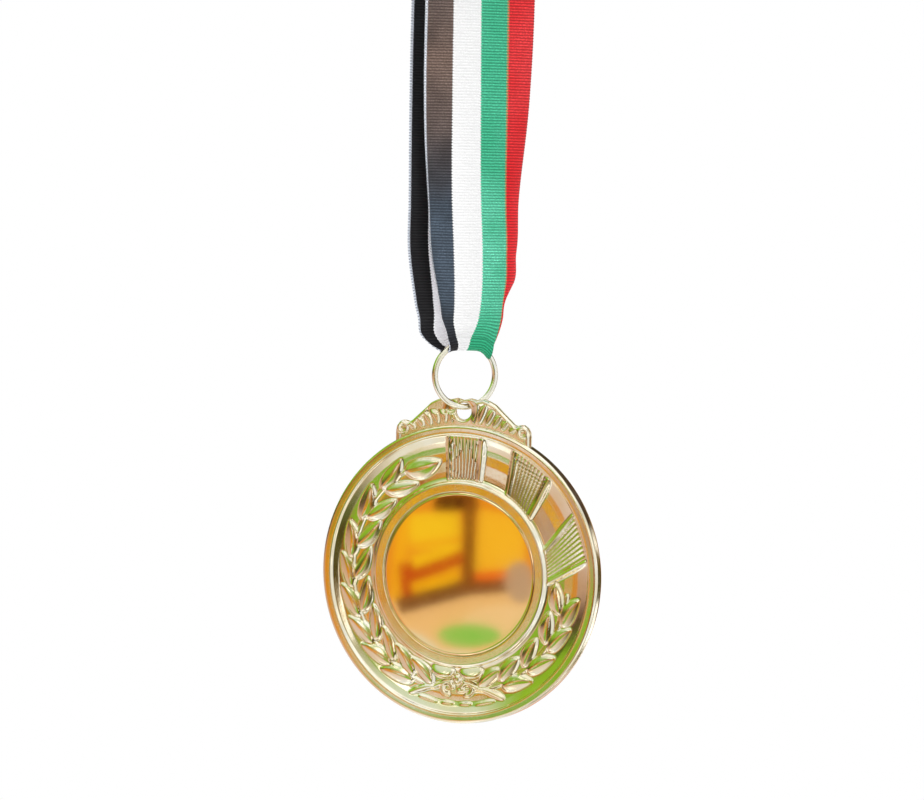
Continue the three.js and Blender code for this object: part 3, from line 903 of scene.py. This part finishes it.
def strip_faces(rows, cols, outward):
    """Faces round the strip, and a flat end on each of its two ends."""
    faces = grid_quads(rows, cols, wrap_cols=True)
    if outward > 0:
        faces = faces[:, ::-1]
    faces = faces.tolist()
    for row, flip in ((0, outward > 0), (rows - 1, outward < 0)):
        start = row * cols
        end = start + cols - 1
        cap = [[start + i, start + i + 1, end - 1 - i, end - i] for i in range(ACROSS - 1)]
        faces += [quad[::-1] if flip else quad for quad in cap]
    return faces


def unit(vectors):
    return vectors / np.maximum(np.linalg.norm(vectors, axis=2), 1e-9)[:, :, None]


def add_ribbon():
    surface, distance, total = strip_surface()
    rows = len(surface)
    across = np.gradient(surface, axis=1)
    normal = unit(np.cross(np.gradient(surface, axis=0), across))
    halfway = normal[rows // 2, MIDDLE] @ (surface[rows // 2, MIDDLE] - surface.mean((0, 1)))
    outward = 1 if halfway > 0 else -1
    normal = normal * outward
    surface = surface + normal * lap_lift(distance)[:, None, None]
    outer, inner = strip_thickness(surface, distance, normal, unit(across))
    section = np.concatenate([outer, inner[:, ::-1]], 1)
    points = yawed(*np.moveaxis(section, 2, 0))
    faces = strip_faces(rows, section.shape[1], outward)
    share = np.linspace(0, 1, ACROSS)
    u = np.concatenate([share, share[::-1]])
    uv = np.stack(np.broadcast_arrays(u, (distance / RIBBON_W)[:, None]), -1).reshape(-1, 2)
    ribbon = mesh_object("woven_ribbon", points, faces, woven_ribbon(total), uv=uv)
    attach(ribbon, "ribbon")
    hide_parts("ribbon")


BLACK = (0.017, 0.015, 0.015)
WHITE = (0.86, 0.86, 0.86)
GREEN = (0.025, 0.42, 0.20)
RED = (0.72, 0.006, 0.010)


STRIPES_AT = (0.0, 0.022, 0.25, 0.50, 0.742, 0.755)  # share of the width where each stripe starts
PALE_EDGE = (0.72, 0.74, 0.80)
# the stripes' own colours
OWN_STRIPES = ((0.62, 0.66, 0.74), BLACK, WHITE, GREEN, (0.42, 0.22, 0.08), RED)
# painted sheen: the stripes lighter and the black a cool slate, for light falling on the front strap's ribs
SHEEN_COOL = (PALE_EDGE, (0.085, 0.115, 0.155), WHITE, (0.15, 0.66, 0.44), (0.50, 0.32, 0.14), (0.82, 0.022, 0.03))
# warmer painted sheen: the black a taupe, for light falling on the front strap's ribs
SHEEN_WARM = (PALE_EDGE, (0.19, 0.13, 0.105), WHITE, (0.08, 0.52, 0.31), (0.50, 0.32, 0.14), (0.78, 0.05, 0.055))
SHEEN_ALONG = (  # share of the length, how strong the painted sheen is: the front strap is painted lighter, as if lit on its ribs
    (0.0, 0.10), (0.34, 0.04), (0.402, 0.05), (0.425, 0.35), (0.45, 0.85), (0.50, 0.95), (0.54, 0.75),
    (0.575, 0.45), (0.62, 0.75), (0.68, 1.0), (0.76, 0.8), (0.92, 0.5), (1.0, 0.12),
)
# share of the length, and how much of the painted sheen is the warmer one
WARM_SHEEN_ALONG = ((0.54, 0), (0.61, 0.8), (0.68, 1), (0.84, 0.6))
WARP_ENDS = 68  # warp yarns across the strip
WARP_STAGGER = 0.8
WHITE_CALM = 0.78  # how much less the weave shades the white stripe
# colour of the painted glow on the rear strap's white stripe, where the front strap shades it
PAINTED_GLOW_WHITE = (0.93, 0.90, 1.0, 1.0)


def weave_heights(n, across, along):
    """Heights of the weft's ribs, of the warp's ends over them, and of the two together, from 0 to 1."""
    turn = n.times(along, 2 * math.pi * RIBBON_W / RIB_PITCH)
    rib = n.math("ADD", n.times(n.math("COSINE", turn), 0.5), 0.5)
    half_turn = n.times(turn, 0.5)
    stagger = n.times(n.math("SIGN", n.math("SINE", half_turn)), WARP_STAGGER)
    warp = n.math("ADD", n.times(across, 2 * math.pi * WARP_ENDS), stagger)
    ends = n.math("ADD", n.times(n.math("COSINE", warp), 0.5), 0.5)
    return rib, n.math("ADD", n.times(rib, 0.65), n.times(n.times(ends, rib), 0.35))


def stripe_colours(n, uv, place, share):
    """The stripes' colours, mixed towards painted sheen (slate and taupe on the black), and how strong that
    painted sheen is.
    """
    def stripes(colours):
        return n.ramp(place, list(zip(STRIPES_AT, colours)), constant=True)

    cloud = n.noise(uv, 2.3, 3, 0.55)
    # patches where the painted sheen is stronger or weaker
    sheen_patches = n.span(cloud, 0.3, 0.7, 0.55, 1.25)
    painted_sheen = n.math("MULTIPLY", n.grey_ramp(share, SHEEN_ALONG), sheen_patches, clamp=True)
    sheen_colours = n.mix(n.grey_ramp(share, WARM_SHEEN_ALONG), stripes(SHEEN_COOL), stripes(SHEEN_WARM))
    return n.mix(painted_sheen, stripes(OWN_STRIPES), sheen_colours), painted_sheen


def weave_shading(n, uv, height, painted_sheen, white_part):
    """How light the yarns are against their stripe's colour: painted shade between the ribs and painted
    highlight on their tops, flecked, with painted glints where the painted sheen is.
    """
    flecks = n.span(n.noise(uv, 120, 3, 0.7), 0.3, 0.72, 0.66, 1.36)
    # painted glints: pale yarn ends, made brighter where the painted sheen is
    painted_glints = n.span(n.noise(uv, 74, 3, 0.75), 0.47, 0.66, 0.82, 2.1)
    extra = n.times(n.math("SUBTRACT", painted_glints, 1.0), n.times(painted_sheen, 0.7))
    flecks = n.times(flecks, n.math("ADD", 1.0, extra))
    # painted shade between the ribs and painted highlight on their tops
    tone = n.times(n.span(height, 0.05, 0.9, 0.50, 1.22), flecks)
    calm = n.times(white_part, WHITE_CALM)
    tone = n.math("ADD", n.times(tone, n.math("SUBTRACT", 1.0, calm)), calm)
    grey = n.node("ShaderNodeCombineXYZ")
    for socket in grey.inputs:
        n.link(tone, socket)
    return grey.outputs[0]


def woven_ribbon(total):
    """Ribbed tape in four stripes. U is the share of the width, V the distance along it in widths."""
    n = Look("woven_ribbon")
    uv = n.node("ShaderNodeUVMap", uv_map="weave").outputs[0]
    across, along, _ = n.parts(uv)
    rib, height = weave_heights(n, across, along)
    fuzz = n.noise(uv, 210, 3, 0.7)
    teeth = n.times(n.math("SUBTRACT", rib, 0.5), 0.010)
    wander = n.times(n.math("SUBTRACT", fuzz, 0.5), 0.012)
    place = n.math("ADD", n.math("ADD", across, teeth), wander)
    share = n.times(along, RIBBON_W / float(total))
    white_part = n.grey_ramp(place, ((0.0, 0), (0.25, 1), (0.5, 0)), constant=True)
    colour, painted_sheen = stripe_colours(n, uv, place, share)
    colour = n.mix(1.0, colour, weave_shading(n, uv, height, painted_sheen, white_part), "MULTIPLY")
    normal = n.bump(height, 0.9, 0.00016, n.bump(fuzz, 0.25, 0.0001))
    # painted glow: the rear strap's white stripe glows where it hangs in the front strap's shade, to lighten
    # that shade
    through = n.times(white_part, n.span(share, 0.36, 0.41, 0.34, 0.0))
    return n.set(
        Base_Color=colour, Roughness=n.span(fuzz, 0.3, 0.7, 0.62, 0.82), Normal=normal,
        Emission_Color=PAINTED_GLOW_WHITE, Emission_Strength=through,
        Sheen_Weight=0.04, Sheen_Roughness=0.5, Specular_IOR_Level=0.15,
    )


# -------- seam thread
THREAD_R = 0.25
THREAD_SWING = 1.5
THREAD_PASSES = 16
THREAD_TWISTS = 70
THREAD_DIP = 0.12  # how far the thread sinks into the cloth at each stitch's end
TURN_SHARPNESS = 1.8  # how sharply the row turns at its edges
SEAM_INSET = 1.5  # how far the row stops short of the ribbon's edges


def add_seam():
    """Two twisted plies of thread in a zigzag row on the lap of the ribbon's rear strap."""
    t = np.linspace(0, 1, 640)
    phase = (t * THREAD_PASSES / 2) % 1
    wave = 2 * np.abs(2 * phase - 1) - 1
    u = (t - 0.5) * (RIBBON_W - 2 * SEAM_INSET)
    z = SEAM_Z + THREAD_SWING * np.tanh(TURN_SHARPNESS * wave) / math.tanh(TURN_SHARPNESS)
    opening = smoothstep(z, FLARE_Z, LOOP_Z)
    strap = STRAP_HALF_GAP * (1 - opening) + LOOP_R * opening
    behind = strap + RIBBON_T * 1.5 + LAP_GAP + THREAD_R
    dip = THREAD_DIP * np.abs(wave) ** 6
    twist = t * 2 * np.pi * THREAD_TWISTS
    lay = THREAD_R * 0.42
    plies, faces = [], []
    for ply in (0, math.pi):
        path = yawed(u + lay * np.cos(twist + ply), -(behind - dip + lay * np.sin(twist + ply)), z)
        points, ply_faces = tube(path, THREAD_R * 0.58, 8)
        first = sum(map(len, plies))
        faces += [[i + first for i in face] for face in ply_faces]
        plies.append(points)
    seam = mesh_object("zigzag_seam", np.concatenate(plies), faces, twisted_thread())
    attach(seam, "ribbon")
    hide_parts("seam_thread")


add_medal_body()
add_insert()
add_adhesive()
add_ring()
add_seam()
add_ribbon()


# -------- floor, surroundings and lights
FLOOR_BELOW = 0.14  # m below the medal
FLOOR_R = 550.0  # mm
AMBIENT = 0.78  # strength of the even light, against the white that the camera sees
OVERCAST = (1.15, 1.22, 1.38)
WINDOW = (1.7, 1.7, 1.75)
CLUTTER = (0.07, 0.03, 0.012)
SHADE = (0.05, 0.02, 0.01)
RIGHT_WALL = (0.90, 0.96, 1.06)
MIDDLE_WALL = (  # height from 0 at the floor to 1 overhead, and the room's colour there
    (0.0, (0.82, 0.90, 1.05)), (0.20, (0.88, 0.92, 1.02)), (0.31, (0.82, 0.66, 0.58)),
    (0.40, (0.78, 0.27, 0.05)), (0.48, (0.86, 0.31, 0.025)), (0.55, (0.74, 0.40, 0.03)),
    (0.59, (0.26, 0.46, 0.04)), (0.66, (0.24, 0.50, 0.05)), (0.72, (0.62, 0.76, 0.62)),
    (0.82, (0.86, 0.94, 0.96)), (1.0, OVERCAST),
)
NEAR_RIGHT = (
    (0.0, (0.50, 0.46, 0.42)), (0.20, (0.48, 0.38, 0.26)), (0.29, (0.08, 0.12, 0.015)),
    (0.47, (0.035, 0.045, 0.012)), (0.56, (0.24, 0.15, 0.04)), (0.64, (0.42, 0.36, 0.20)),
    (0.74, (0.80, 0.86, 0.88)), (0.84, OVERCAST),
)
FAR_LEFT = (
    (0.0, (0.8, 0.76, 0.76)), (0.38, (0.72, 0.55, 0.50)), (0.47, (0.55, 0.36, 0.28)),
    (0.52, (0.10, 0.055, 0.03)), (0.56, (0.10, 0.14, 0.02)), (0.60, (0.27, 0.52, 0.03)),
    (0.80, (0.32, 0.60, 0.04)), (0.92, (1.1, 1.15, 1.3)),
)


def add_floor():
    z = (CAD_BOX[0][2] - FLOOR_BELOW) / MM
    a = np.linspace(0, 2 * np.pi, 96, endpoint=False)
    corners = np.stack([FLOOR_R * np.cos(a), FLOOR_R * np.sin(a), np.full(len(a), z)], -1)
    n = Look("pale_floor")
    grain = n.noise(n.place(), 40, 3)
    pale = n.mix(grain, (0.93, 0.93, 0.93), (0.96, 0.96, 0.96))
    material = n.set(Base_Color=pale, Roughness=0.9, Normal=n.bump(grain, 0.05, 0.001))
    floor = mesh_object("floor", corners, [list(range(len(a)))], material)
    floor.visible_glossy = False


def room_colour(n):
    """The room's colour in each direction: walls by height, with dark clutter and bright windows."""
    direction = n.node("ShaderNodeTexCoord").outputs["Generated"]
    side, depth, height = n.parts(direction)
    level = n.span(height, -1, 1, 0, 1)
    room = n.mix(n.span(side, -0.08, 0.14, 0.0, 0.95), n.ramp(level, MIDDLE_WALL), n.ramp(level, NEAR_RIGHT))
    room = n.mix(n.span(side, 0.42, 0.60, 0.0, 0.95), room, RIGHT_WALL)
    room = n.mix(n.span(side, -0.52, -0.68, 0.0, 1.0), room, n.ramp(level, FAR_LEFT))
    clutter = n.span(n.noise(direction, 2.6, 3, 0.55), 0.37, 0.42, 0.9, 0.0)
    clutter = n.times(clutter, n.span(height, -0.5, -0.35, 0.0, 1.0))
    room = n.mix(n.times(clutter, n.span(side, -0.62, -0.5, 0.0, 1.0)), room, CLUTTER)
    windows = n.noise(n.shifted(direction, (3.1, 1.7, 5.2)), 3.4, 2, 0.5)
    windows = n.times(n.span(windows, 0.575, 0.61, 0.0, 1.0), n.span(side, -0.66, -0.54, 0.0, 1.0))
    room = n.mix(windows, room, WINDOW)
    behind = n.times(n.span(depth, 0.55, 0.75, 0.0, 0.95), n.span(height, 0.10, 0.2, 0.0, 1.0))
    return n.mix(behind, room, SHADE)


def add_surroundings():
    """A white backdrop and soft even light, with a warm and green room that only gloss picks up."""
    world = bpy.data.worlds.new("studio")
    bpy.context.scene.world = world
    world.use_nodes = True
    world.node_tree.nodes.clear()
    n = Nodes(world.node_tree)
    rays = n.node("ShaderNodeLightPath")
    gloss = n.node("ShaderNodeBackground")
    n.link(room_colour(n), gloss.inputs["Color"])
    even = n.node("ShaderNodeBackground")
    even.inputs["Color"].default_value = (1, 1, 1, 1)
    n.link(n.span(rays.outputs["Is Camera Ray"], 0, 1, AMBIENT, 1.0), even.inputs["Strength"])
    mixed = n.node("ShaderNodeMixShader")
    n.link(rays.outputs["Is Glossy Ray"], mixed.inputs[0])
    n.link(even.outputs[0], mixed.inputs[1])
    n.link(gloss.outputs[0], mixed.inputs[2])
    output = n.node("ShaderNodeOutputWorld")
    n.link(mixed.outputs[0], output.inputs["Surface"])


CARD_AWAY = 420.0  # mm from the medal's plane to the farthest card
CARD_STEP = 3.0  # mm that each card is nearer than the one before it
CARDS = (  # place and size on the disc in mm, colour, tilt in degrees, corners
    (0, 0, 150, 150, (0.72, 0.30, 0.03), 0, 24),
    (0, 0, 42, 42, (0.82, 0.33, 0.03), 0, 24),
    (0, -18, 60, 27, (0.86, 0.60, 0.36), 9, 4),
    (12, -11, 22, 9, (0.88, 0.68, 0.50), 6, 24),
    (3.1, -14.6, 17, 5.6, (0.22, 0.66, 0.14), 3, 24),
    (11.0, 8.0, 13, 15, (0.92, 0.56, 0.04), -4, 4),
    (-6.7, 10.0, 13.5, 9.0, (0.92, 0.66, 0.03), 3, 4),
    (-6.6, 7.2, 13.5, 1.5, (0.88, 0.46, 0.02), 10, 4),
    (-6.3, 2.6, 12.5, 5.0, (0.92, 0.64, 0.02), 12, 4),
    (-16.0, 3.0, 3.4, 22, (0.90, 0.50, 0.02), -6, 4),
    (-13.6, -3.2, 3.8, 10, (0.50, 0.03, 0.008), 8, 4),
    (-6.4, 1.2, 15.5, 3.0, (0.52, 0.05, 0.012), 22, 4),
    (-6.2, -2.7, 13, 3.8, (0.92, 0.54, 0.01), 17, 4),
    (-7.2, -6.0, 19, 3.8, (0.15, 0.05, 0.016), 17, 4),
    (6.2, -2.6, 15, 3.6, (0.17, 0.055, 0.016), 8, 4),
    (7.8, 0.1, 9.5, 2.3, (0.86, 0.16, 0.02), 7, 4),
    (-1.2, 17.4, 11.5, 4.4, (0.055, 0.008, 0.004), 3, 4),
    (2.5, 7.4, 3.2, 22, (0.20, 0.065, 0.012), 0, 4),
    (16.2, -1.0, 8.4, 10, (0.50, 0.38, 0.36), 8, 24),
    (3, 44.5, 62, 26, (0.84, 0.79, 0.82), 0, 4),
    (60, 12, 66, 66, (0.50, 0.33, 0.25), 0, 24),
    (52, -46, 100, 100, (0.25, 0.49, 0.03), 0, 24),
    (-6, -46, 90, 42, (0.25, 0.47, 0.12), 0, 24),
    (-38, 34, 56, 52, (0.34, 0.34, 0.03), 0, 24),
    (-52, 52, 60, 50, (0.38, 0.12, 0.05), 0, 24),
    (-14, -27, 25, 25, (0.76, 0.78, 0.80), 0, 24),
    (-4, -24.6, 30, 12, (0.80, 0.78, 0.74), 8, 24),
)


def glowing(name, colour):
    n = Look(name)
    n.tree.nodes.remove(n.shader)
    glow = n.node("ShaderNodeEmission")
    glow.inputs["Color"].default_value = (*colour, 1)
    n.link(glow.outputs[0], n.tree.nodes["Material Output"].inputs["Surface"])
    return n.material


def card_corners(x, z, width, height, tilt, sides, away):
    """Corners of a card this far in front of the mirror disc that the camera sees mirrored at (x, z)."""
    eye = np.array(camera.matrix_world.translation) / MM
    reach = away / (INSERT_LOW[1] - eye[1])
    c, s = math.cos(math.radians(tilt)), math.sin(math.radians(tilt))
    size = math.sqrt(0.5) if sides == 4 else 0.5
    a = np.pi * (2 * np.arange(sides) + 1) / sides
    across, up = width * size * np.cos(a), height * size * np.sin(a)
    px = x + across * c - up * s
    pz = DISC_Z + z + across * s + up * c
    level = np.full(sides, INSERT_LOW[1] - away)
    return np.stack([px + (px - eye[0]) * reach, level, pz + (pz - eye[2]) * reach], -1)


def add_cards():
    """Coloured cards that the mirror disc and the other flat parts show. Only gloss sees them."""
    for number, (x, z, width, height, colour, tilt, sides) in enumerate(CARDS):
        name = f"card_{number}"
        corners = card_corners(x, z, width, height, tilt, sides, CARD_AWAY - CARD_STEP * number)
        card = mesh_object(name, corners, [list(range(sides))], glowing(name, colour), smooth=False)
        card.visible_camera = False
        card.visible_diffuse = False
        card.visible_shadow = False


def add_light(name, place, size, power):
    """A soft rectangular light, aimed at the medal's middle. The metal doesn't mirror it."""
    data = bpy.data.lights.new(name, "AREA")
    data.shape = "RECTANGLE"
    data.size, data.size_y = size
    data.energy = power
    light = bpy.data.objects.new(name, data)
    bpy.context.scene.collection.objects.link(light)
    middle = Vector((0, 0, (CAD_BOX[0][2] + CAD_BOX[1][2]) / 2))
    light.visible_glossy = False
    light.location = Vector(place)
    light.rotation_euler = (middle - light.location).to_track_quat("-Z", "Y").to_euler()


add_floor()
add_surroundings()
add_cards()
add_light("key", (-0.55, -0.85, 0.75), (0.7, 0.5), power=9)
add_light("fill", (1.1, -0.5, 0.25), (0.6, 0.8), power=4)
add_light("top", (0.1, 0.35, 1.0), (0.8, 0.6), power=5)

bpy.context.scene.view_settings.view_transform = "Standard"
bpy.context.scene.view_settings.look = "None"
